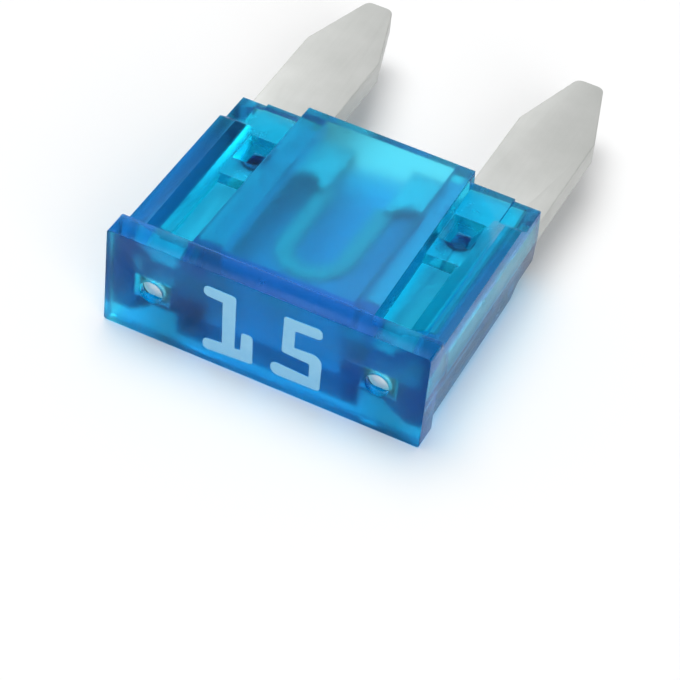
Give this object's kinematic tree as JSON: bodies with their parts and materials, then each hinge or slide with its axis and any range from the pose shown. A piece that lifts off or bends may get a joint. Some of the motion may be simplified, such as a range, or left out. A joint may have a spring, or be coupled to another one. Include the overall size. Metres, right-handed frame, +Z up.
{
  "type": "automotive blade fuse",
  "caption": "Plug-in blade fuse: a stepped, see-through plastic housing staked onto a flat stamped zinc strip, whose tapered blades stand out side by side and join through a thin fusible link.",
  "frame": {"origin": "middle of the fuse's footprint, on the surface that it lies on with a broad face down", "axes": "+X across the two blades, +Y from the head towards the blade tips, +Z up through the fuse's thickness"},
  "size_m": [0.011, 0.0164, 0.0037],
  "materials": {
    "housing_plastic": "transparent blue polycarbonate, injection moulded",
    "element_zinc": "stamped zinc alloy with a matt tin plating"
  },
  "bodies": {
    "root": {"housing": "housing_plastic", "fuse_element": "element_zinc"}
  },
  "joints": []
}
